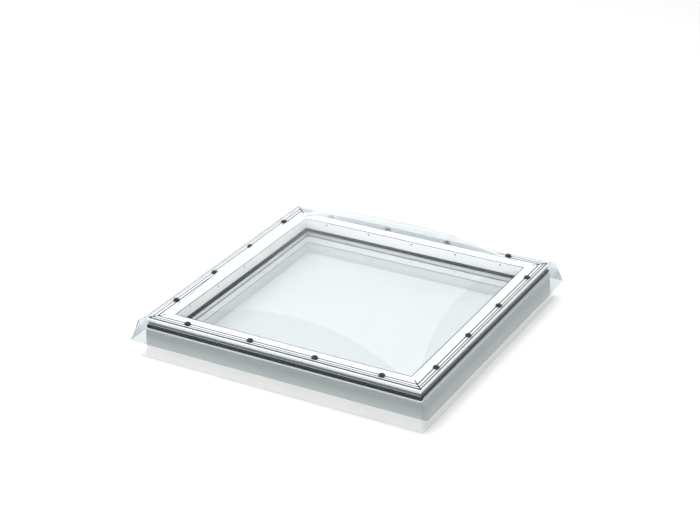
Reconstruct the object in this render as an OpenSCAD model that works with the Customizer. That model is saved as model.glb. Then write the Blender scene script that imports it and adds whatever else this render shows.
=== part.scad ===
// Flat-roof skylight: a hollow plastic base frame, a mitred glazed sash on top of it,
// and a clear domed cover screwed down over the sash with a skirt that sheds the rain.
// +Z is up, the origin is the middle of the base's underside, and all lengths are millimetres.
// Cross-sections are drawn once with x = distance from the middle of the skylight, y = height.

/* [Base frame] */
// Overall width of the foot that stands on the roof kerb
foot_w = 1200; // [900:50:1500]
// How far the thin foot reaches out past the outside wall
foot_reach = 19; // [12:1:24]
// Radius of the hollow curve between the foot and the outside wall
foot_fillet = 22; // [16:1:26]
// Width of the frame from the inside lining to the outside wall
frame_w = 100; // [98:1:106]
// Height of the outside wall, up to the drip ridge
frame_h = 113; // [108:1:122]
// Height of the inner step under the sash
step_h = 43; // [38:1:44]
// Wall thickness of the hollow plastic profiles
wall = 3; // [2.5:0.5:3]

/* [Sash] */
// Height of the sash's upper face above the base
sash_top = 156; // [156:1:158]
// How far the sash's outer edge sits in from the outside wall
sash_inset = 6; // [4:1:7]
// Height of the ledge that carries the glass
ledge_h = 72; // [70:1:73]
// Width of the black cord under the cover, on the inner side of its screws
cord_w = 5; // [4:0.5:5]

/* [Glazing] */
// Thickness of the single outer pane
outer_glass = 4; // [4:1:5]
// Thickness of the laminated inner pane
inner_glass = 6.4; // [5:0.1:7]
// Width of the gas gap between the panes
glass_gap = 16; // [14:1:17]
// Space left all round between the glass edge and the sash
glass_play = 7; // [5:1:8]

/* [Dome cover] */
// Height of the dome's crown above its flat flange
dome_rise = 199; // [120:1:220]
// How full the dome is: 2 is a plain arch, more gives a flatter crown and steeper sides
dome_fullness = 3.5; // [2:0.25:5]
// Thickness of the clear sheet
sheet = 3; // [2.5:0.5:4]
// Height of the skirt's lower edge above the base
skirt_clear = 70; // [50:1:90]
// How far the skirt's lower edge stands out past the foot
skirt_out = 27; // [20:1:35]
// Number of facets along each side of the dome's crown
dome_facets = 40; // [16:2:44]

/* [Fasteners] */
// Distance between the cover's screws along a side
screw_pitch = 273; // [180:1:290]
// Number of cover screws on each side
screws_a_side = 4; // [2:2:4]
// Distance between the small glazing bead screws along a side
bead_pitch = 199; // [120:1:210]
// Number of bead screws on each side
beads_a_side = 5; // [3:2:5]
// Diameter of the black caps over the cover's screws
cap_d = 26; // [20:1:28]

/* [Hidden] */
SIDES = ["front", "right", "back", "left"];
CORNERS = ["front_left", "front_right", "back_right", "back_left"];
$fn = 48;
eps = 0.01; // overshoot that lets a cutter break clean through a face
fit = 0.5; // slack round an insert inside a hollow profile

// Base frame, measured out from the middle
foot_r = foot_w / 2;
wall_r = foot_r - foot_reach; // outside wall
light_r = wall_r - frame_w; // inside lining, which bounds the light opening
foot_tip = 3; // thickness of the foot where the hollow curve runs out
ridge_out = 4; // how far the drip ridge stands out of the wall
ridge_nose = 2.2; // radius of the ridge's rounded nose
upstand_r = light_r + 60; // inner face of the frame's tall outer part
core_low = wall + fit;

// Sash, measured out from the middle
sash_r = wall_r - sash_inset; // outer edge
body_r = light_r + 55; // outer face of the part that drops inside the frame
rebate_r = light_r + 26; // wall that the glass edge and the bead face
sash_low = step_h + 4; // underside, resting on the rebate seal
rim_z = sash_top - 4; // height of the inner rim and of the outer shoulder
band_low = rim_z - 11; // lower edge of the sash's rounded outer band
lip_low = frame_h + 14; // underside of the overhanging lip, above the frame seal
recess_r = sash_r - 2; // face of the lip below the rounded band
drip_w = 5; // depth of the rebate that holds the drip seal
drip_low = lip_low + 1;
drip_high = drip_low + 10;
chamber_low = lip_low + 4; // floor of the lip's hollow chamber
chamber_high = rim_z - 4; // roof of the lip's hollow chamber
chamber_r = sash_r - 12; // outer wall of that chamber
step_r = light_r + 86; // where the upper face steps down to the outer shoulder
groove_floor = rim_z - 1; // bottom of the two seal grooves under the flange
step_floor = rim_z - 3; // bottom of the seal groove at the foot of the step
mitre_gap = 5; // gap at each mitre, filled by a corner seal
seal_in = light_r + 44; // the corner seal runs from here
seal_out = sash_r - 4; // to here, across the cords
seal_low = rim_z - 10;
seal_high = sash_top + 0.4;

// Glazing bead
bead_in = rebate_r - 8; // visible inner face
bead_screw_z = rim_z - 12;
trim_w = 3.4; // dark trim along the bead's upper inner edge
trim_h = 1;

// Glass
tape_h = 2.6;
pane_r = rebate_r - glass_play;
inner_z = ledge_h + tape_h;
gap_z = inner_z + inner_glass;
outer_z = gap_z + glass_gap;
glass_top = outer_z + outer_glass;
bead_low = glass_top + 6.5;
gasket_in = light_r + 7; // inner lip of the wedge gasket
spacer_r = light_r + 3; // inner face of the spacer bar
sealant_r = spacer_r + 8; // where the spacer ends and the edge sealant begins
tape_out = light_r + 17;
block_l = 80; // length of a setting block
block_at = 380; // distance of a setting block from the middle of its side

// Dome cover
flange_z = sash_top + 0.5; // underside of the flange, held off the sash by its seal
flange_top = flange_z + sheet;
root_r = light_r + 59; // where the crown rises from the flange
bend_r = sash_r + 5; // where the flange starts to droop
edge_r = foot_r + 1.5; // where the flange turns down into the skirt
edge_z = flange_top - 9.5;
hem_r = foot_r + skirt_out; // lower edge of the skirt
cove = 6; // size of the soft curve at the foot of the crown

// Black cords under the cover: distance of the inner edge from the middle, width, bottom, top
cords = [
    [light_r + 69 - cord_w, cord_w, groove_floor, flange_z],
    [light_r + 78, 4, groove_floor, flange_z],
    [step_r, 3.5, step_floor, rim_z + 1.5]
];

// Fasteners
screw_r = light_r + 73; // line of the cover's screws
shank_r = 2.3;
cap_h = 9;
cap_wall = 2;
washer_r = 8;
washer_h = 2;
head_r = 5;
head_h = 3;
bead_shank = 1.8;
bead_head = 3.5;
sash_screw_r = light_r + 40; // line of the screws that hold the sash down
sash_screw_at = [-300, 300]; // places of those screws along a side
access_r = 7; // hole under each of them for the driver

white = "#f4f5f5";
black = "#1d1f20";
steel = "#a9adb0";

// Distances along a side of n places with the given pitch, centred on the middle
function places(n, pitch) = [for (i = [0:n - 1]) (i - (n - 1) / 2) * pitch];

// Unit vector square to the way from a to b, on its right-hand side
function side_of(a, b) = let (d = b - a) [d[1], -d[0]] / norm(d);

// Inner corner of a sheet of thickness t that turns at b on its way from a to c
function inside_bend(a, b, c, t) =
    let (n = side_of(a, b), m = side_of(b, c))
    b + (n + m) * t / (1 + n * m);

// Height of the dome's crown above the flange, for u and v from -1 to 1 across the cover
function swell(u) = 1 - pow(abs(u), dome_fullness);
function crown(u, v) =
    let (h = (dome_rise + cove) * swell(u) * swell(v))
    sqrt(h * h + cove * cove) - cove;

// Turns a piece made on the front side to side k: 0 front, 1 right, 2 back, 3 left
module on_side(k) {
    rotate([0, 0, 90 * k]) children();
}

// Places a piece made at the origin, its z axis pointing out of the front side
module outward(x, r, z) {
    translate([x, -r, z]) rotate([90, 0, 0]) children();
}

// Sweeps a cross-section along the whole front side, with square ends
module sweep(reach) {
    rotate([0, 0, -90])
        rotate([90, 0, 0])
            linear_extrude(height = 2 * reach, center = true) children();
}

// The quarter of the plan that belongs to the front side, short of each mitre by gap
module quarter(reach, gap = 0) {
    translate([0, -gap / sqrt(2), -1])
        linear_extrude(height = sash_top + dome_rise)
            polygon([[0, 0], [-reach, -reach], [reach, -reach]]);
}

// One mitred length of a profile along the front side
module mitred(reach, gap = 0) {
    intersection() {
        sweep(reach) children();
        quarter(reach + 1, gap);
    }
}

// A one-piece square ring of a profile
module ring(reach) {
    for (k = [0:3])
        on_side(k) mitred(reach) children();
}

// A flat square ring with an upright face inside and outside
module flat_ring(r_in, r_out, z0, z1) {
    difference() {
        translate([-r_out, -r_out, z0]) cube([2 * r_out, 2 * r_out, z1 - z0]);
        translate([-r_in, -r_in, z0 - 1]) cube([2 * r_in, 2 * r_in, z1 - z0 + 2]);
    }
}

// A rectangle of a cross-section, from corner to corner
module patch(r0, r1, z0, z1) {
    translate([r0, z0]) square([r1 - r0, z1 - z0]);
}

// A rectangle of a cross-section whose corners are rounded to radius e
module soft_patch(r0, r1, z0, z1, e) {
    patch(r0 + e, r1 - e, z0, z1);
    patch(r0, r1, z0 + e, z1 - e);
    for (r = [r0 + e, r1 - e], z = [z0 + e, z1 - e])
        translate([r, z]) circle(r = e);
}

// ---- Base frame ----

module frame_outline() {
    difference() {
        patch(light_r, foot_r, 0, foot_tip + foot_fillet);
        translate([wall_r + foot_fillet, foot_tip + foot_fillet]) circle(r = foot_fillet);
    }
    patch(light_r, wall_r, foot_tip, step_h);
    patch(upstand_r, wall_r, foot_tip, frame_h);
    // drip ridge: a sloping underside that ends in a rounded nose
    polygon([
        [wall_r - 1, frame_h - 12],
        [wall_r, frame_h - 11],
        [wall_r + ridge_out - ridge_nose, frame_h - 2 * ridge_nose],
        [wall_r + ridge_out - ridge_nose, frame_h],
        [wall_r - 1, frame_h]
    ]);
    translate([wall_r + ridge_out - ridge_nose, frame_h - ridge_nose]) circle(r = ridge_nose);
}

module frame_hollow() {
    patch(light_r + wall, wall_r - wall, wall, step_h - wall);
    patch(upstand_r + wall, wall_r - wall, wall, frame_h - wall);
}

// Everything cut along the line of the sash's hold-down screws on one side
module sash_screw_line(r, z0, z1) {
    for (x = sash_screw_at)
        translate([x, -sash_screw_r, z0]) cylinder(r = r, h = z1 - z0);
}

module frame_shell() {
    color(white)
    difference() {
        ring(foot_r + 1) {
            difference() {
                frame_outline();
                frame_hollow();
            }
        }
        for (k = [0:3]) on_side(k) {
            sash_screw_line(access_r, -1, wall + 1);
            sash_screw_line(shank_r + 0.4, step_h - wall - 1, step_h + 1);
        }
    }
}

// Insulation bar that fills one side of the hollow frame
module frame_core() {
    color("#dfe3e6")
    difference() {
        mitred(wall_r, 1) {
            patch(light_r + core_low, wall_r - core_low, core_low, step_h - core_low);
            patch(upstand_r + core_low, wall_r - core_low, core_low, frame_h - core_low);
        }
        sash_screw_line(access_r, 0, step_h);
    }
}

// Black weather seal squeezed between the frame and the sash's lip
module frame_seal() {
    color(black)
    ring(wall_r) soft_patch(upstand_r + 9, wall_r - 3, frame_h, lip_low, 3);
}

// Dark grey strip in the rebate under the sash's outer band
module drip_seal() {
    color("#5c6163")
    ring(wall_r) patch(recess_r - drip_w, recess_r, drip_low, drip_high);
}

// Soft seal between the frame's inner step and the sash
module rebate_seal() {
    color("#8f9496")
    flat_ring(light_r + 2, light_r + 16, step_h, sash_low);
}

// ---- Sash ----

module sash_outline() {
    neck_r = recess_r - 1.5; // shadow line under the rounded band
    polygon([
        [light_r, sash_low],
        [body_r, sash_low],
        [body_r, lip_low],
        [recess_r, lip_low],
        [recess_r, band_low - 2],
        [neck_r, band_low - 2],
        [neck_r, rim_z - 1],
        [step_r, rim_z - 1],
        [step_r, sash_top],
        [rebate_r + 12, sash_top],
        [rebate_r, rim_z],
        [rebate_r, ledge_h],
        [light_r, ledge_h]
    ]);
    soft_patch(step_r - 3, sash_r, band_low, rim_z, 3);
}

module sash_hollows() {
    patch(rebate_r + wall, body_r - wall, sash_low + wall, lip_low - wall);
    patch(light_r + wall, rebate_r - wall, sash_low + wall, ledge_h - wall);
    patch(rebate_r + 5, chamber_r, chamber_low, chamber_high);
}

module sash_grooves() {
    for (c = cords)
        patch(c[0], c[0] + c[1], c[2], sash_top + 1);
    patch(recess_r - drip_w, recess_r + 1, drip_low, drip_high);
}

// One mitred length of the sash, drilled for the cover, the bead and the hold-down screws
module sash_length() {
    color(white)
    difference() {
        mitred(sash_r + 1) {
            difference() {
                sash_outline();
                sash_hollows();
                sash_grooves();
            }
        }
        for (x = places(screws_a_side, screw_pitch))
            translate([x, -screw_r, chamber_high - 1]) cylinder(r = shank_r + 0.3, h = 20);
        for (x = places(beads_a_side, bead_pitch))
            outward(x, rebate_r - 1, bead_screw_z) cylinder(r = bead_shank + 0.1, h = 8);
        sash_screw_line(shank_r + 0.1, sash_low - 1, sash_low + wall + 1);
        for (s = [-1, 1])
            mitre_slot(s, mitre_gap);
    }
}

// Upright plate that stands in a mitre of the front side, s = -1 left or 1 right
module mitre_slot(s, thick) {
    mid = (seal_in + seal_out) / 2;
    span = (seal_out - seal_in) * sqrt(2);
    translate([s * mid, -mid, (seal_low + seal_high) / 2])
        rotate([0, 0, -45 * s])
            cube([span, thick, seal_high - seal_low], center = true);
}

// Black plate that closes the mitre, flush with the cords, at the front left corner
module corner_seal() {
    color(black) mitre_slot(-1, mitre_gap);
}

// Angle key inside the sash that joins two lengths at the front left corner
module corner_key() {
    key_in = rebate_r + wall + fit;
    key_out = body_r - wall - fit;
    leg = 90;
    low = sash_low + 16;
    high = lip_low - 20;
    color("#b4b8ba")
    for (m = [0, 1])
        mirror([m, -m, 0]) // swaps the two legs across the mitre line
            translate([-key_out, -key_out, low])
                cube([leg, key_out - key_in, high - low]);
}

// Steel box section in the sash's lip, which the cover's screws bite into
module stiffener() {
    inner = light_r + 60.5;
    outer = chamber_r - fit;
    low = chamber_low + fit;
    high = chamber_high - fit;
    gauge = 1.5;
    reach = inner - 20; // half length, short of the corner seals
    color(steel)
    difference() {
        translate([-reach, -outer, low]) cube([2 * reach, outer - inner, high - low]);
        translate([-reach - 1, -outer + gauge, low + gauge])
            cube([2 * reach + 2, outer - inner - 2 * gauge, high - low - 2 * gauge]);
        for (x = places(screws_a_side, screw_pitch))
            translate([x, -screw_r, high - gauge - 1]) cylinder(r = shank_r + 0.1, h = gauge + 2);
    }
}

// Glazing bead: the smooth inner wall above the glass, countersunk for its screws
module bead() {
    sink = bead_head - bead_shank;
    color(white)
    difference() {
        mitred(sash_r)
            difference() {
                patch(bead_in, rebate_r, bead_low, rim_z);
                patch(bead_in - 1, bead_in + trim_w, rim_z - trim_h, rim_z + 1);
            }
        for (x = places(beads_a_side, bead_pitch)) {
            outward(x, bead_in - 1, bead_screw_z) cylinder(r = bead_shank + 0.1, h = 12);
            outward(x, bead_in - eps, bead_screw_z)
                cylinder(r1 = bead_head + 0.1, r2 = bead_shank + 0.1, h = sink);
        }
    }
}

// Thin dark trim clipped along the upper inner edge of the beads
module edge_trim() {
    color("#3b3f41")
    flat_ring(bead_in, bead_in + trim_w, rim_z - trim_h, rim_z);
}

// ---- Glazing ----

module glazing_tape() {
    color(black) flat_ring(spacer_r, tape_out, ledge_h, inner_z);
}

module pane(z, thick) {
    color("#cfe0df", 0.35)
        translate([-pane_r, -pane_r, z]) cube([2 * pane_r, 2 * pane_r, thick]);
}

module spacer_bar() {
    color("#9fa4a6") flat_ring(spacer_r, sealant_r, gap_z, outer_z);
}

module edge_sealant() {
    color(black) flat_ring(sealant_r, pane_r, gap_z, outer_z);
}

// Wedge gasket between the bead and the outer pane; its sloping face shows all round
module glazing_gasket() {
    color("#34383a")
    ring(sash_r)
        polygon([
            [gasket_in, glass_top],
            [pane_r - 0.5, glass_top],
            [rebate_r - 0.5, glass_top + 5],
            [rebate_r - 0.5, bead_low - 0.2],
            [bead_in - 1, bead_low - 0.2],
            [gasket_in, glass_top + 1.5]
        ]);
}

// Blocks that centre the glass in the sash, two on each side
module setting_blocks() {
    color("#3a66a0")
    for (k = [0:3], x = [-block_at, block_at])
        on_side(k)
            translate([x - block_l / 2, -rebate_r, inner_z])
                cube([block_l, glass_play, glass_top - inner_z]);
}

// ---- Dome cover ----

// Section of the flange and skirt: flat, drooping, then down to the hem
module cover_edge() {
    root = [root_r, flange_top];
    bend = [bend_r, flange_top];
    edge = [edge_r, edge_z];
    hem = [hem_r, skirt_clear];
    slant = (hem - edge) / norm(hem - edge);
    hem_in = hem_r - sheet / -slant[1];
    polygon([
        root,
        bend,
        edge,
        hem,
        [hem_in, skirt_clear],
        inside_bend(bend, edge, hem, sheet),
        inside_bend(root, bend, edge, sheet),
        [root_r, flange_z]
    ]);
}

// The crown: an upper and a lower grid of points, closed by a narrow rim
module crown_shell() {
    n = dome_facets;
    row = n + 1;
    grid = [for (i = [0:n], j = [0:n]) [2 * i / n - 1, 2 * j / n - 1]];
    top = [for (g = grid) [g[0] * root_r, g[1] * root_r, flange_top + crown(g[0], g[1])]];
    under = [for (p = top) [p[0], p[1], p[2] - sheet]];
    lower = len(top); // index of the first point of the under side
    cells = [for (i = [0:n - 1], j = [0:n - 1]) i * row + j];
    upper_faces = [for (c = cells) each [[c, c + 1, c + row], [c + 1, c + row + 1, c + row]]];
    under_faces = [for (f = upper_faces) [f[2] + lower, f[1] + lower, f[0] + lower]];
    rim = concat(
        [for (j = [0:n - 1]) j],
        [for (i = [0:n - 1]) i * row + n],
        [for (j = [n:-1:1]) n * row + j],
        [for (i = [n:-1:1]) i * row]
    );
    count = len(rim);
    rim_faces = [for (k = [0:count - 1])
        let (a = rim[k], b = rim[(k + 1) % count])
        each [[b, a, a + lower], [b, a + lower, b + lower]]];
    polyhedron(concat(top, under), concat(upper_faces, under_faces, rim_faces));
}

module dome_cover() {
    color("#dfe9ef", 0.3)
    difference() {
        union() {
            ring(hem_r + 1) cover_edge();
            crown_shell();
        }
        for (k = [0:3]) on_side(k)
            for (x = places(screws_a_side, screw_pitch))
                translate([x, -screw_r, flange_z - 1]) cylinder(r = 4, h = sheet + 2);
    }
}

// Black cords: one on each side of the screws, pressed by the flange, and one along the step
module dome_seal() {
    color(black)
    difference() {
        for (c = cords)
            flat_ring(c[0], c[0] + c[1], c[2], c[3]);
        for (k = [0:3]) on_side(k)
            mitre_slot(1, mitre_gap);
    }
}

// ---- Fasteners ----

// Repeats a piece at every cover screw
module at_cover_screws() {
    for (k = [0:3]) on_side(k)
        for (x = places(screws_a_side, screw_pitch))
            translate([x, -screw_r, flange_top]) children();
}

module dome_screws() {
    reach = flange_top - chamber_high + 8; // length of shank below the flange
    color(steel)
    at_cover_screws() {
        translate([0, 0, -reach]) cylinder(r = shank_r, h = reach + washer_h + 1);
        translate([0, 0, washer_h]) cylinder(r1 = head_r, r2 = head_r - 1.2, h = head_h);
    }
}

module sealing_washers() {
    color(black)
    at_cover_screws()
        difference() {
            cylinder(r = washer_r, h = washer_h);
            translate([0, 0, -1]) cylinder(r = shank_r + 0.1, h = washer_h + 2);
        }
}

// Domed cap: the crown of a ball, hollow over the screw's head
module screw_caps() {
    r = cap_d / 2;
    ball = (r * r + cap_h * cap_h) / (2 * cap_h);
    color(black)
    at_cover_screws()
        intersection() {
            difference() {
                translate([0, 0, cap_h - ball]) sphere(r = ball);
                translate([0, 0, cap_h - ball]) sphere(r = ball - cap_wall);
            }
            cylinder(r = r + 1, h = cap_h + 1);
        }
}

module bead_screws() {
    sink = bead_head - bead_shank;
    color("#4a4d4f")
    for (k = [0:3]) on_side(k)
        for (x = places(beads_a_side, bead_pitch)) {
            outward(x, bead_in, bead_screw_z) cylinder(r = bead_shank, h = 22);
            outward(x, bead_in, bead_screw_z)
                cylinder(r1 = bead_head, r2 = bead_shank, h = sink);
        }
}

// Screws driven up through the frame's step into the sash
module sash_screws() {
    color(steel)
    for (k = [0:3]) on_side(k) {
        sash_screw_line(shank_r, step_h - wall - head_h, sash_low + 18);
        sash_screw_line(head_r, step_h - wall - head_h, step_h - wall);
    }
}

frame_shell();
frame_seal();
drip_seal();
rebate_seal();
for (k = [0:3]) {
    on_side(k) frame_core();
    on_side(k) sash_length();
    on_side(k) stiffener();
    on_side(k) bead();
    on_side(k) corner_key();
    on_side(k) corner_seal();
}
edge_trim();
bead_screws();
sash_screws();
setting_blocks();
glazing_tape();
pane(inner_z, inner_glass);  // inner_pane
pane(outer_z, outer_glass);  // outer_pane
spacer_bar();
edge_sealant();
glazing_gasket();
dome_cover();
dome_seal();
dome_screws();
sealing_washers();
screw_caps();
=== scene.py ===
import math

import bmesh
import bpy
from mathutils import Matrix, Vector


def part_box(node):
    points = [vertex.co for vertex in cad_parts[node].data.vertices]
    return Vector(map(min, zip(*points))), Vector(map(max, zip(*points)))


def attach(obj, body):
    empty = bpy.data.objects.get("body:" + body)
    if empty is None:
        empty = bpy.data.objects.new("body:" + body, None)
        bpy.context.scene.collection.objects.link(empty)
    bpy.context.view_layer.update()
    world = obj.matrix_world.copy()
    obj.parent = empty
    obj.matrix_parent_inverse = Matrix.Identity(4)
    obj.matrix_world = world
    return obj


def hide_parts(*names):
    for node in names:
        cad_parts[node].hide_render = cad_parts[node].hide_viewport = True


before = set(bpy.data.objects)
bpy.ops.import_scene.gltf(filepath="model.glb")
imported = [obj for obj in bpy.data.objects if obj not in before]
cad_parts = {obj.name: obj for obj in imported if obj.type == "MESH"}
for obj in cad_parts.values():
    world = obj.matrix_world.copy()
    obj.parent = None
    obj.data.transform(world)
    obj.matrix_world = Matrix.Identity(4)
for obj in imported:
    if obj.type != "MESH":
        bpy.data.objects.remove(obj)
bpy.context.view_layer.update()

bl_info = {
    "name": "Roof skylight",
    "version": (1, 0, 0),
    "blender": (4, 5, 0),
    "location": "View3D > Sidebar > Skylight",
    "description": "Finishes a flat-roof skylight: its plastics, rubbers, glass, clear cover and screws",
    "category": "Object",
}

MM = 0.001
BODY = "root"
SLOW = 0.02  # how much a pattern is stretched along an extruded length
SIDES = ("front", "right", "back", "left")
CORNERS = ("front_left", "front_right", "back_right", "back_left")

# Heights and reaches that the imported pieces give; "reach" is a distance from the middle
cover_low, cover_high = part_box("dome_cover")
FLANGE_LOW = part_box("dome_seal")[1].z
FLANGE_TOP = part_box("sealing_washers")[0].z
SHEET = FLANGE_TOP - FLANGE_LOW
HEM_REACH = cover_high.x
HEM_Z = cover_low.z
FOOT_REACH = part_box("frame_shell")[1].x
SASH_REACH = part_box("sash_right")[1].x
GLASS_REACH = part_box("outer_pane")[1].x
ROOT_REACH = GLASS_REACH + 40 * MM  # where the crown rises from the flange
BEND_REACH = SASH_REACH + 5 * MM  # where the flange starts to droop
EDGE_REACH = FOOT_REACH + 1.5 * MM  # where the flange turns down into the skirt
EDGE_Z = FLANGE_TOP - 9.5 * MM
HOLE_RADIUS = 4 * MM  # drilled through the flange for each cover screw
BEAD_SCREW = 22 * MM  # length of a bead screw


# ---- Settings -------------------------------------------------------------------------------


def srgb(code):
    """Linear red, green and blue of an sRGB hex value such as "#f4f5f5"."""
    parts = [int(code[i:i + 2], 16) / 255 for i in (1, 3, 5)]
    return tuple(c / 12.92 if c <= 0.04045 else ((c + 0.055) / 1.055) ** 2.4 for c in parts)


def colour_setting(name, description, code):
    """A colour that the user can change, given by its sRGB hex value."""
    return bpy.props.FloatVectorProperty(
        name=name, description=description, default=srgb(code),
        subtype="COLOR", size=3, min=0, max=1,
    )


def length_setting(name, description, default, low, high):
    """A length in metres that the user can change."""
    return bpy.props.FloatProperty(
        name=name, description=description, default=default,
        min=low, max=high, unit="LENGTH", precision=4,
    )


class CoverSettings(bpy.types.PropertyGroup):
    rise: length_setting(
        "Crown rise", "Height of the crown above the flange",
        cover_high.z - FLANGE_TOP, 0.05, 0.3)
    fullness: bpy.props.FloatProperty(
        name="Fullness", description="2 is a plain arch; more gives a flatter top and steeper sides",
        default=3.5, min=2, max=6)
    cove: length_setting(
        "Cove", "Size of the soft curve at the foot of the crown", 6 * MM, 1 * MM, 20 * MM)
    corner: length_setting(
        "Skirt corner", "Radius of the skirt's corners at the hem", 7 * MM, 1 * MM, 40 * MM)
    cells: bpy.props.IntProperty(
        name="Cells", description="Mesh cells along each side of the crown",
        default=112, min=24, max=150)


class HardwareSettings(bpy.types.PropertyGroup):
    rim: length_setting(
        "Cap rim", "Height of the cap's upright rim", 1.2 * MM, 0.2 * MM, 3 * MM)
    wall: length_setting(
        "Cap wall", "Thickness of the cap's moulded wall", 1.8 * MM, 0.5 * MM, 3 * MM)
    recess: length_setting(
        "Cross recess", "Depth of the cross in a bead screw's head", 1.3 * MM, 0.2 * MM, 3 * MM)


class ColourSettings(bpy.types.PropertyGroup):
    plastic: colour_setting("Sash plastic", "Sash and glazing beads", "#f6f7f7")
    # Painted shade: the frame is the same white PVC as the sash, drawn greyer to stand in for the lower
    # light on its outer wall
    frame_plastic: colour_setting("Frame plastic", "Base frame and its foot", "#dbdddb")
    rubber: colour_setting("Black rubber", "Weather seals and washers", "#292c2e")
    grey_rubber: colour_setting("Grey rubber", "Drip strip and rebate seal", "#6d7173")
    gasket: colour_setting("Gasket", "Wedge gasket round the glass", "#3a3d3f")
    cap: colour_setting("Caps", "Caps over the cover's screws", "#17191a")
    crown: colour_setting("Crown", "Tint of the clear cover's top and flange", "#e4e8ea")
    # Painted reflection: this darker tint on the crown's sides stands in for the reflected edge between
    # the flat top and the steep sides
    side: colour_setting("Crown sides", "Tint of the clear cover's four sloping sides", "#dde1e3")
    skirt: colour_setting("Skirt", "Tint of the clear cover at its skirt", "#ccd2d5")
    glass: colour_setting("Glass", "Tint of the panes", "#fcfdfd")


class StageSettings(bpy.types.PropertyGroup):
    floor: colour_setting("Floor", "Matt painted floor", "#e4e4e3")
    key: bpy.props.FloatProperty(
        name="Overhead light", description="Power of the large overhead light",
        default=220, min=0, max=3000, unit="POWER")
    backdrop: bpy.props.FloatProperty(
        name="Backdrop", description="Brightness of the backdrop round the horizon",
        default=1.5, min=0, max=5)
    ceiling: bpy.props.FloatProperty(
        name="Ceiling", description="Brightness of the dimmer studio ceiling",
        default=1.1, min=0, max=5)


# ---- Materials ------------------------------------------------------------------------------


def put(tree, kind, inputs=None, **settings):
    """Add a node. Each input is a value, or the output socket that feeds it."""
    made = tree.nodes.new(kind)
    for name, value in settings.items():
        setattr(made, name, value)
    for key, value in (inputs or {}).items():
        if isinstance(value, bpy.types.NodeSocket):
            tree.links.new(value, made.inputs[key])
        else:
            made.inputs[key].default_value = value
    return made


def new_finish(name):
    """An empty material and its node tree."""
    material = bpy.data.materials.new(name)
    material.use_nodes = True
    material.node_tree.nodes.clear()
    return material, material.node_tree


def show(tree, shader):
    """Send a shader to the material's output."""
    put(tree, "ShaderNodeOutputMaterial", {"Surface": shader})


def opaque(colour):
    """A colour with its alpha, as a socket wants it."""
    return (*colour, 1.0)


def shade_of(colour, factor):
    """The same colour, darker or lighter by a factor."""
    return tuple(min(1.0, c * factor) for c in colour)


def per_mm(size):
    """Noise scale that gives features of a size in millimetres, on coordinates in metres."""
    return 1 / (size * MM)


def place(tree):
    """Position on the skylight, in metres."""
    return put(tree, "ShaderNodeTexCoord").outputs["Object"]


def run_of_profile(tree):
    """Position across an extruded profile: distance from the middle, height, and slow travel along it.

    Every extruded length runs round the square, so a draw line keeps its distance and its height
    all the way along and turns at the mitres.
    """
    parts = put(tree, "ShaderNodeSeparateXYZ", {0: place(tree)})
    across = [put(tree, "ShaderNodeMath", {0: parts.outputs[i]}, operation="ABSOLUTE").outputs[0]
              for i in (0, 1)]
    reach = put(tree, "ShaderNodeMath", {0: across[0], 1: across[1]}, operation="MAXIMUM")
    along = put(tree, "ShaderNodeMath", {0: across[0], 1: across[1]}, operation="MINIMUM")
    slow = put(tree, "ShaderNodeMath", {0: along.outputs[0], 1: SLOW}, operation="MULTIPLY")
    return put(tree, "ShaderNodeCombineXYZ",
               {0: reach.outputs[0], 1: slow.outputs[0], 2: parts.outputs[2]}).outputs[0]


def noise(tree, where, size_mm, detail=2.0):
    """Soft random pattern whose features are about size_mm across, from 0 to 1."""
    return put(tree, "ShaderNodeTexNoise",
               {"Vector": where, "Scale": per_mm(size_mm), "Detail": detail}).outputs[0]


def spread(tree, pattern, low, high):
    """Stretch the middle of a 0 to 1 pattern to run from low to high."""
    return put(tree, "ShaderNodeMapRange",
               {"Value": pattern, "From Min": 0.3, "From Max": 0.7, "To Min": low, "To Max": high}
               ).outputs[0]


def ramp(tree, value, start, end):
    """0 up to the start, 1 from the end on."""
    return put(tree, "ShaderNodeMapRange",
               {"Value": value, "From Min": start, "From Max": end}).outputs[0]


def blend(tree, factor, first, second):
    """Mix two colours, or sockets that give colours, by a pattern."""
    ends = [end if isinstance(end, bpy.types.NodeSocket) else opaque(end) for end in (first, second)]
    return put(tree, "ShaderNodeMix", {0: factor, 6: ends[0], 7: ends[1]}, data_type="RGBA").outputs[2]


def relief(tree, pattern, depth_mm):
    """Bump from a pattern whose full height is depth_mm."""
    return put(tree, "ShaderNodeBump",
               {"Height": pattern, "Distance": depth_mm * MM, "Strength": 1.0}).outputs[0]


def extruded_pvc(name, colour):
    """White window-grade PVC, drawn through a die: satin, with faint lines along each length.

    The real draw lines are under 1 mm apart; they are drawn 3 mm apart so that they show.
    """
    material, tree = new_finish(name)
    lines = noise(tree, run_of_profile(tree), 3, 3)
    cloud = noise(tree, place(tree), 160)
    show(tree, put(tree, "ShaderNodeBsdfPrincipled", {
        "Base Color": blend(tree, spread(tree, cloud, 0, 1), colour, shade_of(colour, 0.965)),
        "Roughness": spread(tree, lines, 0.32, 0.42),
        "IOR": 1.53,
        "Normal": relief(tree, lines, 0.02),
    }).outputs[0])
    return material


def extruded_rubber(name, colour, roughness=0.62):
    """EPDM rubber pressed through a die: dull, with a faint grey bloom and soft running lines."""
    material, tree = new_finish(name)
    lines = noise(tree, run_of_profile(tree), 2.5, 3)
    bloom = noise(tree, place(tree), 22, 4)
    show(tree, put(tree, "ShaderNodeBsdfPrincipled", {
        "Base Color": blend(tree, spread(tree, bloom, 0, 1), colour, shade_of(colour, 1.35)),
        "Roughness": spread(tree, lines, roughness - 0.08, roughness + 0.08),
        "IOR": 1.5,
        "Normal": relief(tree, lines, 0.03),
    }).outputs[0])
    return material


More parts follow.
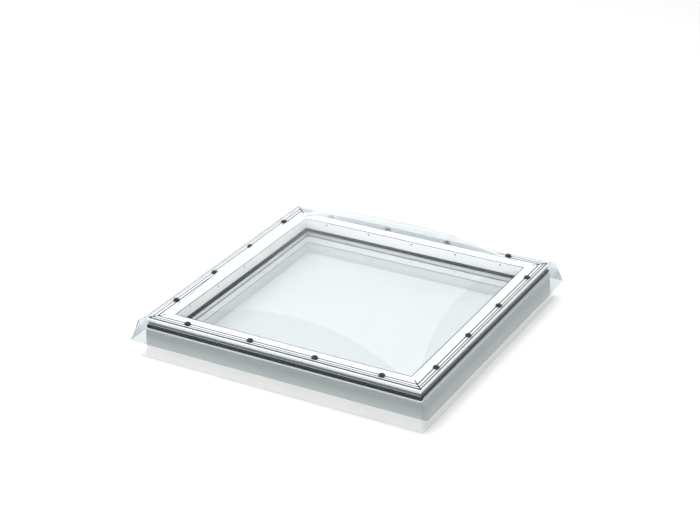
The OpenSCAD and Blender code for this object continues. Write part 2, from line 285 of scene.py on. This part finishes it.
def moulded_nylon(name, colour):
    """Injection-moulded nylon: a soft gloss over a fine spark-eroded grain.

    The real grain is about 0.1 mm; it is drawn at 0.8 mm so that it shows.
    """
    material, tree = new_finish(name)
    grain = noise(tree, place(tree), 0.8)
    show(tree, put(tree, "ShaderNodeBsdfPrincipled", {
        "Base Color": blend(tree, spread(tree, grain, 0, 1), colour, shade_of(colour, 1.5)),
        "Roughness": spread(tree, grain, 0.3, 0.42),
        "IOR": 1.53,
        "Normal": relief(tree, grain, 0.03),
    }).outputs[0])
    return material


def moulded_polypropylene(name, colour):
    """Moulded polypropylene blocks: waxy, slightly mottled."""
    material, tree = new_finish(name)
    mottle = noise(tree, place(tree), 6, 3)
    show(tree, put(tree, "ShaderNodeBsdfPrincipled", {
        "Base Color": blend(tree, spread(tree, mottle, 0, 1), colour, shade_of(colour, 0.85)),
        "Roughness": spread(tree, mottle, 0.42, 0.55),
        "IOR": 1.49,
        "Subsurface Weight": 0.1,
        "Normal": relief(tree, mottle, 0.05),
    }).outputs[0])
    return material


def cut_foam(name, colour):
    """Expanded polystyrene bar, hot-wire cut: fused beads about 4 mm across show as cells."""
    material, tree = new_finish(name)
    beads = put(tree, "ShaderNodeTexVoronoi", {"Vector": place(tree), "Scale": per_mm(4)})
    rim = spread(tree, beads.outputs["Distance"], 0, 1)
    show(tree, put(tree, "ShaderNodeBsdfPrincipled", {
        "Base Color": blend(tree, rim, colour, shade_of(colour, 0.86)),
        "Roughness": 0.85,
        "IOR": 1.4,
        "Normal": relief(tree, beads.outputs["Distance"], 0.4),
    }).outputs[0])
    return material


def galvanised_steel(name, colour):
    """Hot-dip galvanised strip: zinc crystals about 9 mm across, each with its own shine."""
    material, tree = new_finish(name)
    crystals = put(tree, "ShaderNodeTexVoronoi", {"Vector": place(tree), "Scale": per_mm(9)})
    tone = put(tree, "ShaderNodeSeparateColor", {0: crystals.outputs["Color"]}).outputs[0]
    show(tree, put(tree, "ShaderNodeBsdfPrincipled", {
        "Base Color": blend(tree, tone, colour, shade_of(colour, 0.78)),
        "Metallic": 1.0,
        "Roughness": spread(tree, tone, 0.3, 0.5),
    }).outputs[0])
    return material


def plated_steel(name, colour, roughness=0.34):
    """Zinc-plated screw steel: even grey metal with a slightly cloudy plating."""
    material, tree = new_finish(name)
    cloud = noise(tree, place(tree), 2, 3)
    show(tree, put(tree, "ShaderNodeBsdfPrincipled", {
        "Base Color": blend(tree, spread(tree, cloud, 0, 1), colour, shade_of(colour, 0.8)),
        "Metallic": 1.0,
        "Roughness": spread(tree, cloud, roughness - 0.06, roughness + 0.1),
        "Normal": relief(tree, cloud, 0.02),
    }).outputs[0])
    return material


def rolled_aluminium(name, colour):
    """Anodised aluminium strip: fine rolling lines along each length."""
    material, tree = new_finish(name)
    lines = noise(tree, run_of_profile(tree), 1.5, 3)
    show(tree, put(tree, "ShaderNodeBsdfPrincipled", {
        "Base Color": blend(tree, spread(tree, lines, 0, 1), colour, shade_of(colour, 0.88)),
        "Metallic": 1.0,
        "Roughness": spread(tree, lines, 0.34, 0.46),
        "Normal": relief(tree, lines, 0.03),
    }).outputs[0])
    return material


def slant_of(tree):
    """How steeply a face is met: 0 square on, 1 at grazing."""
    return put(tree, "ShaderNodeLayerWeight", {"Blend": 0.5}).outputs["Facing"]


def clear_sheet(tree, ior, normal, tint, passed):
    """A clear sheet that bends what is seen through it and tints it.

    Light from lamps and from matt surfaces passes a see-through stand-in in its place, a face at
    a time, which keeps what lies under the sheet evenly lit.
    """
    bend = put(tree, "ShaderNodeBsdfPrincipled", {
        "Base Color": tint,
        "Roughness": 0.0,
        "IOR": ior,
        "Transmission Weight": 1.0,
        "Normal": normal,
    })
    stand_in = put(tree, "ShaderNodeBsdfTransparent", {"Color": passed})
    rays = put(tree, "ShaderNodeLightPath").outputs
    lit_by = put(tree, "ShaderNodeMath", {0: rays["Is Shadow Ray"], 1: rays["Is Diffuse Ray"]},
                 operation="MAXIMUM")
    show(tree, put(tree, "ShaderNodeMixShader",
                   {0: lit_by.outputs[0], 1: bend.outputs[0], 2: stand_in.outputs[0]}).outputs[0])


def formed_acrylic(name, crown, side, skirt):
    """Clear acrylic sheet, heated and drawn to shape: glossy and gently wavy.

    The top is drawn thin and stays clear, and the skirt shows more of the sheet's smoky blue.
    The crown's four sides get a slightly darker tint, a painted reflection of the edge between the
    flat top and the steep sides; each side's tint ends in an arc that bows inwards from corner to
    corner.
    """
    material, tree = new_finish(name)
    index = 1.15  # low for acrylic, so that the caps behind the crown show with little glare
    clear = (1.0, 1.0, 1.0)
    shaded = (0.46, 0.47, 0.48)  # how much light the skirt lets through to the frame
    bow = 85 * MM
    parts = put(tree, "ShaderNodeSeparateXYZ", {0: run_of_profile(tree)}).outputs
    squared = put(tree, "ShaderNodeMath", {0: parts[1], 1: parts[1]}, operation="MULTIPLY")
    arc = put(tree, "ShaderNodeMath", {
        0: squared.outputs[0], 1: -bow / (SLOW * ROOT_REACH) ** 2, 2: parts[0],
    }, operation="MULTIPLY_ADD").outputs[0]
    # Painted reflection: between these arcs and the crown's root the sides get the darker side tint,
    # standing in for a reflected edge
    sloping = ramp(tree, arc, ROOT_REACH - bow - 2 * MM, ROOT_REACH - bow + 2 * MM)
    flat = ramp(tree, parts[0], ROOT_REACH, ROOT_REACH + 4 * MM)
    hung = ramp(tree, parts[0], EDGE_REACH + 5 * MM, EDGE_REACH + 11 * MM)
    tint = blend(tree, hung, blend(tree, flat, blend(tree, sloping, crown, side), crown), skirt)
    wave = relief(tree, noise(tree, place(tree), 120, 1), 0.12)
    clear_sheet(tree, index, wave, tint, blend(tree, hung, clear, shaded))
    return material


def float_glass(name, tint):
    """Float glass: flat and clear, with the least green in it, and a slow roll in its surface."""
    material, tree = new_finish(name)
    roll = relief(tree, noise(tree, place(tree), 300, 1), 0.01)
    edge = blend(tree, slant_of(tree), tint, shade_of(tint, 0.97))
    clear_sheet(tree, 1.52, roll, edge, (1.0, 1.0, 1.0, 1.0))
    return material


def matt_board(name, colour):
    """Matt painted studio floor: white with a very fine roller texture."""
    material, tree = new_finish(name)
    nap = noise(tree, place(tree), 3)
    show(tree, put(tree, "ShaderNodeBsdfPrincipled", {
        "Base Color": opaque(colour),
        "Roughness": 0.9,
        "Specular IOR Level": 0.2,
        "Normal": relief(tree, nap, 0.05),
    }).outputs[0])
    return material


def wear(material, *names):
    """Give CAD nodes a finish in every one of their material slots."""
    for name in names:
        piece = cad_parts[name]
        if not piece.material_slots:
            piece.data.materials.append(material)
        for held in piece.material_slots:
            held.material = material


# ---- Mesh helpers ---------------------------------------------------------------------------


def add_piece(name, mesh, material, node):
    """Show a mesh in place of a CAD node, riding on the skylight."""
    piece = bpy.data.objects.new(name, mesh)
    bpy.context.scene.collection.objects.link(piece)
    mesh.materials.append(material)
    mesh.shade_smooth()
    mesh.set_sharp_from_angle(angle=math.radians(40))
    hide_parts(node)
    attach(piece, BODY)
    return piece


def to_mesh(bm, name):
    """Turn a bmesh into a mesh and free it."""
    bmesh.ops.recalc_face_normals(bm, faces=bm.faces)
    mesh = bpy.data.meshes.new(name)
    bm.to_mesh(mesh)
    bm.free()
    return mesh


def centres(node):
    """Middle of each separate solid in a CAD node."""
    bm = bmesh.new()
    bm.from_mesh(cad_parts[node].data)
    bmesh.ops.remove_doubles(bm, verts=bm.verts, dist=0.02 * MM)
    left = set(bm.verts)
    found = []
    while left:
        start = left.pop()
        island, edge = [start], [start]
        while edge:
            vert = edge.pop()
            for link in vert.link_edges:
                other = link.other_vert(vert)
                if other in left:
                    left.discard(other)
                    island.append(other)
                    edge.append(other)
        corners = [[pick(v.co[i] for v in island) for i in range(3)] for pick in (min, max)]
        found.append((Vector(corners[0]) + Vector(corners[1])) / 2)
    bm.free()
    return sorted(found, key=lambda c: (round(c.x, 4), round(c.y, 4)))


def turned(bm, profile, steps, at=Matrix()):
    """Turn an outline of (radius, height) points into a closed solid about the z axis."""
    rings = []
    for radius, height in profile:
        count = steps if radius > 0 else 1
        rings.append([bm.verts.new(at @ Vector((
            radius * math.cos(2 * math.pi * k / count),
            radius * math.sin(2 * math.pi * k / count),
            height))) for k in range(count)])
    for lower, upper in zip(rings, rings[1:]):
        for k in range(steps):
            corners = [lower[k % len(lower)], lower[(k + 1) % len(lower)],
                       upper[(k + 1) % len(upper)], upper[k % len(upper)]]
            unique = list(dict.fromkeys(corners))
            if len(unique) > 2:
                bm.faces.new(unique)


def carve(target, cutter):
    """Cut one mesh out of another, both closed, and return the result."""
    holder = bpy.data.objects.new("carved", target)
    tool = bpy.data.objects.new("cutter", cutter)
    for thing in (holder, tool):
        bpy.context.scene.collection.objects.link(thing)
    cut = holder.modifiers.new("cut", "BOOLEAN")
    cut.operation = "DIFFERENCE"
    cut.solver = "EXACT"
    cut.object = tool
    bpy.context.view_layer.update()
    graph = bpy.context.evaluated_depsgraph_get()
    result = bpy.data.meshes.new_from_object(holder.evaluated_get(graph), depsgraph=graph)
    for thing in (holder, tool):
        bpy.data.objects.remove(thing)
    for spent in (target, cutter):
        bpy.data.meshes.remove(spent)
    if not result.polygons:
        raise RuntimeError("the cut left nothing")
    return result


# ---- Clear cover ----------------------------------------------------------------------------


def crown_at(cover, u, v):
    """Point and outward normal on the crown's upper face, u and v from -1 to 1 across it."""
    height = math.sqrt((cover.rise + cover.cove) ** 2 - cover.cove ** 2)
    swell_u = 1 - abs(u) ** cover.fullness
    swell_v = 1 - abs(v) ** cover.fullness
    lift = height * swell_u * swell_v
    smooth = math.hypot(lift, cover.cove)
    steep = lift / smooth * height * cover.fullness / ROOT_REACH
    lean_x = math.copysign(steep * abs(u) ** (cover.fullness - 1) * swell_v, u)
    lean_y = math.copysign(steep * abs(v) ** (cover.fullness - 1) * swell_u, v)
    point = Vector((u * ROOT_REACH, v * ROOT_REACH, FLANGE_TOP + smooth - cover.cove))
    return point, Vector((lean_x, lean_y, 1)).normalized()


def rounded_path(corners, radii):
    """Points and outward normals along a path whose inner corners are rounded to the given radii."""
    steps = 6
    path = []

    def normal_of(a, b):
        way = (b - a).normalized()
        return Vector((-way.y, way.x))

    path.append((corners[0], normal_of(corners[0], corners[1])))
    for before, here, after, radius in zip(corners, corners[1:], corners[2:], radii):
        n0 = normal_of(before, here)
        n1 = normal_of(here, after)
        turn = n0.angle(n1)
        middle = here - (n0 + n1).normalized() * radius / math.cos(turn / 2)
        for k in range(steps + 1):
            normal = (n0 * (steps - k) + n1 * k).normalized()
            path.append((middle + normal * radius, normal))
    path.append((corners[-1], normal_of(corners[-2], corners[-1])))
    return path


def across(cells):
    """Positions from -1 to 1 that crowd towards both ends, where the crown is most curved."""
    return [math.sin(math.pi / 2 * (2 * i / cells - 1)) for i in range(cells + 1)]


def square_loop(reach, radius, height, cells):
    """Points round a square with rounded corners, cells to a side, starting at the front left corner."""
    bend = 4  # cells in half a corner
    spots = across(cells)
    inner = reach - radius
    side = []
    for i in range(cells):
        if i < bend:
            angle = math.radians(225 + 45 * i / bend)
            side.append((-inner + radius * math.cos(angle), -inner + radius * math.sin(angle)))
        elif i <= cells - bend:
            side.append((inner * spots[i] / spots[cells - bend], -reach))
        else:
            angle = math.radians(270 + 45 * (i - cells + bend) / bend)
            side.append((inner + radius * math.cos(angle), -inner + radius * math.sin(angle)))
    loop = []
    for quarter in range(4):
        turn = Matrix.Rotation(math.pi / 2 * quarter, 2)
        loop += [(*(turn @ Vector(p)), height) for p in side]
    return loop


def edge_section():
    """Outer and inner points of the flange and skirt, from the crown's root to the hem and back."""
    root = Vector((ROOT_REACH, FLANGE_TOP))
    bend = Vector((BEND_REACH, FLANGE_TOP))
    edge = Vector((EDGE_REACH, EDGE_Z))
    hem = Vector((HEM_REACH, HEM_Z))
    at_bend, at_edge = 14 * MM, 8 * MM  # radii of the two turns
    outer = rounded_path([root, bend, edge, hem], [at_bend, at_edge])[1:]
    last, normal = outer[-1]
    slope = Vector((normal.y, -normal.x))
    lip = last - normal * SHEET / 2
    outer[-1] = (last - slope * SHEET / 2, normal)
    lip -= slope * SHEET / 2
    section = [point for point, _ in outer]
    steps = 6
    for k in range(1, steps):
        angle = math.pi * k / steps
        section.append(lip + (normal * math.cos(angle) + slope * math.sin(angle)) * SHEET / 2)
    section += [point - normal * SHEET for point, normal in reversed(outer)]
    return section


def cover_mesh(cover):
    """One closed sheet: crown above and below, flange, skirt and rounded hem."""
    cells = cover.cells
    bm = bmesh.new()
    spots = across(cells)
    faces_up, faces_down = [], []
    for v in spots:
        pairs = [crown_at(cover, u, v) for u in spots]
        faces_up.append([bm.verts.new(point) for point, _ in pairs])
        faces_down.append([bm.verts.new(point - normal * SHEET) for point, normal in pairs])
    for grid in (faces_up, faces_down):
        for j in range(cells):
            for i in range(cells):
                bm.faces.new((grid[j][i], grid[j][i + 1], grid[j + 1][i + 1], grid[j + 1][i]))

    def border(grid):
        return ([grid[0][i] for i in range(cells)]
                + [grid[j][cells] for j in range(cells)]
                + [grid[cells][i] for i in range(cells, 0, -1)]
                + [grid[j][0] for j in range(cells, 0, -1)])

    loops = [border(faces_up)]
    for point in edge_section():
        reach, height = point
        share = (reach - ROOT_REACH) / (HEM_REACH - ROOT_REACH)
        radius = max(1.5 * MM, cover.corner * share)
        loops.append([bm.verts.new(p) for p in square_loop(reach, radius, height, cells)])
    loops.append(border(faces_down))
    count = 4 * cells
    for near, far in zip(loops, loops[1:]):
        for k in range(count):
            bm.faces.new((near[k], near[(k + 1) % count], far[(k + 1) % count], far[k]))
    return to_mesh(bm, "cover")


def hole_cutters():
    """Cylinders that drill the flange at every cover screw."""
    bm = bmesh.new()
    low, high = FLANGE_LOW - 5 * MM, FLANGE_TOP + 5 * MM
    for spot in centres("screw_caps"):
        at = Matrix.Translation((spot.x, spot.y, 0))
        turned(bm, [(0, low), (HOLE_RADIUS, low), (HOLE_RADIUS, high), (0, high)], 20, at)
    return to_mesh(bm, "holes")


# ---- Small hardware -------------------------------------------------------------------------


def cap_profile(hardware, radius, height):
    """Outline of a hollow cap: upright rim, a small step, then a full dome, and the same inside."""
    steps = 9
    shoulder = radius - 0.7 * MM
    spring = hardware.rim + 0.3 * MM
    outside = [(radius - 0.2 * MM, 0), (radius, 0.2 * MM), (radius, hardware.rim), (shoulder, spring)]
    inside = []
    for k in range(1, steps + 1):
        angle = math.pi / 2 * k / steps
        outside.append((shoulder * math.cos(angle), spring + (height - spring) * math.sin(angle)))
    for k in range(steps, -1, -1):
        angle = math.pi / 2 * k / steps
        inside.append(((shoulder - hardware.wall) * math.cos(angle),
                       spring + (height - hardware.wall - spring) * math.sin(angle)))
    outside[-1] = (0, height)
    inside[0] = (0, height - hardware.wall)
    inside.append((shoulder - hardware.wall, 0))
    return outside, inside + [outside[0]]


def cap_mesh(hardware):
    """All the caps over the cover's screws."""
    bm = bmesh.new()
    low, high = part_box("screw_caps")
    spots = centres("screw_caps")
    radius = high.x - max(spot.x for spot in spots)
    outside, inside = cap_profile(hardware, radius, high.z - low.z)
    for spot in spots:
        at = Matrix.Translation((spot.x, spot.y, low.z))
        turned(bm, outside, 40, at)
        turned(bm, inside, 40, at)
    bmesh.ops.remove_doubles(bm, verts=bm.verts, dist=0.01 * MM)
    return to_mesh(bm, "caps")


def screw_blank():
    """A countersunk screw that points along +z, with its face at height 0."""
    head, shank, sink, pitch = 3.5 * MM, 1.8 * MM, 1.7 * MM, 0.9 * MM
    round_off = 0.15 * MM
    height = 2.5 * MM  # where the thread starts
    outline = [(0, 0), (head - round_off, 0), (head, round_off), (shank, sink), (shank, height)]
    while height + pitch < BEAD_SCREW - 3 * MM:
        outline.append((shank, height + 0.3 * pitch))
        outline.append((0.72 * shank, height + 0.65 * pitch))
        outline.append((shank, height + pitch))
        height += pitch
    outline += [(0.7 * shank, BEAD_SCREW - 2 * MM), (0, BEAD_SCREW)]
    bm = bmesh.new()
    turned(bm, outline, 28)
    return to_mesh(bm, "blank")


def cross_tool(hardware):
    """The driver's cross, tapering as it goes in along +z."""
    bm = bmesh.new()
    half = 0.42 * MM
    rings = []
    for height, arm in ((-1 * MM, 1.9 * MM), (hardware.recess, 1.05 * MM)):
        quarter = [Vector(corner) for corner in ((arm, -half), (arm, half), (half, half))]
        turns = [Matrix.Rotation(math.pi / 2 * k, 2) for k in range(4)]
        rings.append([bm.verts.new((*(turn @ corner), height)) for turn in turns for corner in quarter])
    for ring in rings:
        bm.faces.new(ring)
    for k in range(12):
        bm.faces.new((rings[0][k - 1], rings[0][k], rings[1][k], rings[1][k - 1]))
    return to_mesh(bm, "cross")


def bead_screw_mesh(hardware):
    """Every bead screw, driven outwards from the inner face of its bead."""
    single = carve(screw_blank(), cross_tool(hardware))
    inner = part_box("bead_screws")[1].x - BEAD_SCREW
    bm = bmesh.new()
    for spot in centres("bead_screws"):
        sideways = abs(spot.x) > abs(spot.y)
        out = Vector((math.copysign(1, spot.x), 0, 0)) if sideways else Vector(
            (0, math.copysign(1, spot.y), 0))
        at = Vector((out.x * inner if sideways else spot.x,
                     spot.y if sideways else out.y * inner, spot.z))
        twist = Matrix.Rotation(spot.x * 7 + spot.y * 11, 4, "Z")
        turn = out.to_track_quat("Z", "Y").to_matrix().to_4x4()
        copy = single.copy()
        copy.transform(Matrix.Translation(at) @ turn @ twist)
        bm.from_mesh(copy)
        bpy.data.meshes.remove(copy)
    bpy.data.meshes.remove(single)
    return to_mesh(bm, "bead_screws")


# ---- Operators ------------------------------------------------------------------------------


class SKYLIGHT_OT_frame(bpy.types.Operator):
    """Finish the base frame: white extruded plastic, foam inside, and its seals"""
    bl_idname = "skylight.frame"
    bl_label = "Base frame"

    def execute(self, context):
        colours = context.scene.skylight_colours
        # The frame's greyer white is painted shade for its outer wall, not a different plastic
        wear(extruded_pvc("extruded_pvc_frame_painted_shade", colours.frame_plastic), "frame_shell")
        wear(cut_foam("cut_polystyrene", srgb("#e4e8ea")), *[f"frame_core_{s}" for s in SIDES])
        wear(extruded_rubber("extruded_epdm_black", colours.rubber), "frame_seal", "dome_seal",
             "sealing_washers", "glazing_tape", *[f"corner_seal_{c}" for c in CORNERS])
        wear(extruded_rubber("extruded_epdm_grey", colours.grey_rubber), "drip_seal", "rebate_seal")
        return {"FINISHED"}


class SKYLIGHT_OT_sash(bpy.types.Operator):
    """Finish the sash, its glazing beads, and the steel and keys hidden in it"""
    bl_idname = "skylight.sash"
    bl_label = "Sash"

    def execute(self, context):
        colours = context.scene.skylight_colours
        white = extruded_pvc("extruded_pvc_sash", colours.plastic)
        wear(white, *[f"{part}_{s}" for part in ("sash", "bead") for s in SIDES])
        wear(galvanised_steel("galvanised_steel", srgb("#b7bbbe")),
             *[f"stiffener_{s}" for s in SIDES])
        wear(plated_steel("die_cast_zinc", srgb("#aeb1b3"), 0.46),
             *[f"corner_key_{c}" for c in CORNERS])
        wear(extruded_rubber("extruded_soft_trim", srgb("#2e3133"), 0.5), "edge_trim")
        return {"FINISHED"}


class SKYLIGHT_OT_glazing(bpy.types.Operator):
    """Finish the double-glazed unit, its gasket and its setting blocks"""
    bl_idname = "skylight.glazing"
    bl_label = "Glazing"

    def execute(self, context):
        colours = context.scene.skylight_colours
        wear(float_glass("float_glass", colours.glass), "inner_pane", "outer_pane")
        wear(rolled_aluminium("anodised_spacer", srgb("#f0f1f2")), "spacer_bar")
        wear(extruded_rubber("polysulphide_sealant", srgb("#2c2e2f"), 0.7), "edge_sealant")
        wear(extruded_rubber("extruded_gasket", colours.gasket, 0.55), "glazing_gasket")
        wear(moulded_polypropylene("moulded_block", srgb("#3a66a0")), "setting_blocks")
        return {"FINISHED"}


class SKYLIGHT_OT_cover(bpy.types.Operator):
    """Make the clear cover as one smooth formed sheet, drilled for its screws"""
    bl_idname = "skylight.cover"
    bl_label = "Clear cover"

    def execute(self, context):
        cover = context.scene.skylight_cover
        sheet = carve(cover_mesh(cover), hole_cutters())
        colours = context.scene.skylight_colours
        finish = formed_acrylic("formed_acrylic", colours.crown, colours.side, colours.skirt)
        add_piece("cover_sheet", sheet, finish, "dome_cover")
        return {"FINISHED"}


class SKYLIGHT_OT_hardware(bpy.types.Operator):
    """Make the caps and bead screws in full, and finish the hidden screws"""
    bl_idname = "skylight.hardware"
    bl_label = "Caps and screws"

    def execute(self, context):
        hardware = context.scene.skylight_hardware
        cap = moulded_nylon("moulded_nylon", context.scene.skylight_colours.cap)
        add_piece("cover_caps", cap_mesh(hardware), cap, "screw_caps")
        dark = plated_steel("black_zinc_steel", srgb("#2b2d2f"), 0.5)
        add_piece("bead_screw_set", bead_screw_mesh(hardware), dark, "bead_screws")
        wear(plated_steel("zinc_plated_steel", srgb("#c3c7ca")), "dome_screws", "sash_screws")
        return {"FINISHED"}


class SKYLIGHT_OT_stage(bpy.types.Operator):
    """Set the pale floor, the soft studio light and the camera"""
    bl_idname = "skylight.stage"
    bl_label = "Stage"

    def execute(self, context):
        stage = context.scene.skylight_stage
        scene = context.scene
        bm = bmesh.new()
        bmesh.ops.create_circle(bm, cap_ends=True, segments=96, radius=40)
        floor = bpy.data.objects.new("floor", to_mesh(bm, "floor"))
        floor.data.materials.append(matt_board("matt_board", stage.floor))
        floor.location.z = -0.5 * MM
        scene.collection.objects.link(floor)
        scene.world = studio_world(stage)
        overhead = bpy.data.lights.new("overhead", "AREA")
        overhead.shape = "RECTANGLE"
        overhead.size, overhead.size_y = 5, 5
        overhead.energy = stage.key
        lamp = bpy.data.objects.new("overhead", overhead)
        lamp.location = (-0.9, -0.6, 4.2)
        lamp.rotation_euler = (-lamp.location).to_track_quat("-Z", "Y").to_euler()
        lamp.visible_glossy = False
        lamp.visible_transmission = False
        scene.collection.objects.link(lamp)
        scene.camera = studio_camera()
        scene.collection.objects.link(scene.camera)
        scene.view_settings.view_transform = "Standard"
        scene.cycles.transparent_max_bounces = 32  # cover and panes are six faces to pass each way
        return {"FINISHED"}


def studio_world(stage):
    """A bright backdrop all round and a dimmer ceiling, whose edge shows faintly in the clear cover."""
    world = bpy.data.worlds.new("studio")
    world.use_nodes = True
    tree = world.node_tree
    tree.nodes.clear()
    way = put(tree, "ShaderNodeTexCoord").outputs["Generated"]
    upward = put(tree, "ShaderNodeVectorMath",
                 {0: way, 1: Vector((0.32, 0.0, 1.0)).normalized()}, operation="DOT_PRODUCT")
    level = put(tree, "ShaderNodeMapRange", {
        "Value": upward.outputs["Value"], "From Min": 0.58, "From Max": 0.62,
        "To Min": stage.backdrop, "To Max": stage.ceiling})
    air = put(tree, "ShaderNodeBackground", {"Strength": level.outputs[0]})
    put(tree, "ShaderNodeOutputWorld", {"Surface": air.outputs[0]})
    return world


def studio_camera():
    """A long lens looking down on the front right corner."""
    azimuth, elevation, distance = math.radians(28.37), math.radians(25.97), 7.484
    target = Vector((-0.280, 0.486, 0.0))
    lens = bpy.data.cameras.new("camera")
    lens.lens = 91.32
    lens.sensor_width = 36
    lens.clip_end = 200
    back = Vector((math.sin(azimuth) * math.cos(elevation),
                   -math.cos(azimuth) * math.cos(elevation), math.sin(elevation)))
    camera = bpy.data.objects.new("camera", lens)
    camera.location = target + back * distance
    camera.rotation_euler = (-back).to_track_quat("-Z", "Y").to_euler()
    return camera


class SKYLIGHT_PT_build(bpy.types.Panel):
    """Sizes, colours and build steps of the skylight"""
    bl_idname = "SKYLIGHT_PT_build"
    bl_label = "Skylight"
    bl_space_type = "VIEW_3D"
    bl_region_type = "UI"
    bl_category = "Skylight"

    def draw(self, context):
        for operator in OPERATORS:
            self.layout.operator(operator.bl_idname)
        for field, group in GROUPS.items():
            box = self.layout.box()
            for name in group.__annotations__:
                box.prop(getattr(context.scene, field), name)


GROUPS = {
    "skylight_cover": CoverSettings,
    "skylight_hardware": HardwareSettings,
    "skylight_colours": ColourSettings,
    "skylight_stage": StageSettings,
}
OPERATORS = (
    SKYLIGHT_OT_frame,
    SKYLIGHT_OT_sash,
    SKYLIGHT_OT_glazing,
    SKYLIGHT_OT_cover,
    SKYLIGHT_OT_hardware,
    SKYLIGHT_OT_stage,
)
CLASSES = (*GROUPS.values(), *OPERATORS, SKYLIGHT_PT_build)


def register():
    for kind in CLASSES:
        bpy.utils.register_class(kind)
    for field, group in GROUPS.items():
        setattr(bpy.types.Scene, field, bpy.props.PointerProperty(type=group))


def unregister():
    for field in GROUPS:
        delattr(bpy.types.Scene, field)
    for kind in reversed(CLASSES):
        bpy.utils.unregister_class(kind)


def main():
    """Register the add-on and build every piece."""
    register()
    bpy.ops.skylight.frame()
    bpy.ops.skylight.sash()
    bpy.ops.skylight.glazing()
    bpy.ops.skylight.cover()
    bpy.ops.skylight.hardware()
    bpy.ops.skylight.stage()


if __name__ == "__main__":
    main()
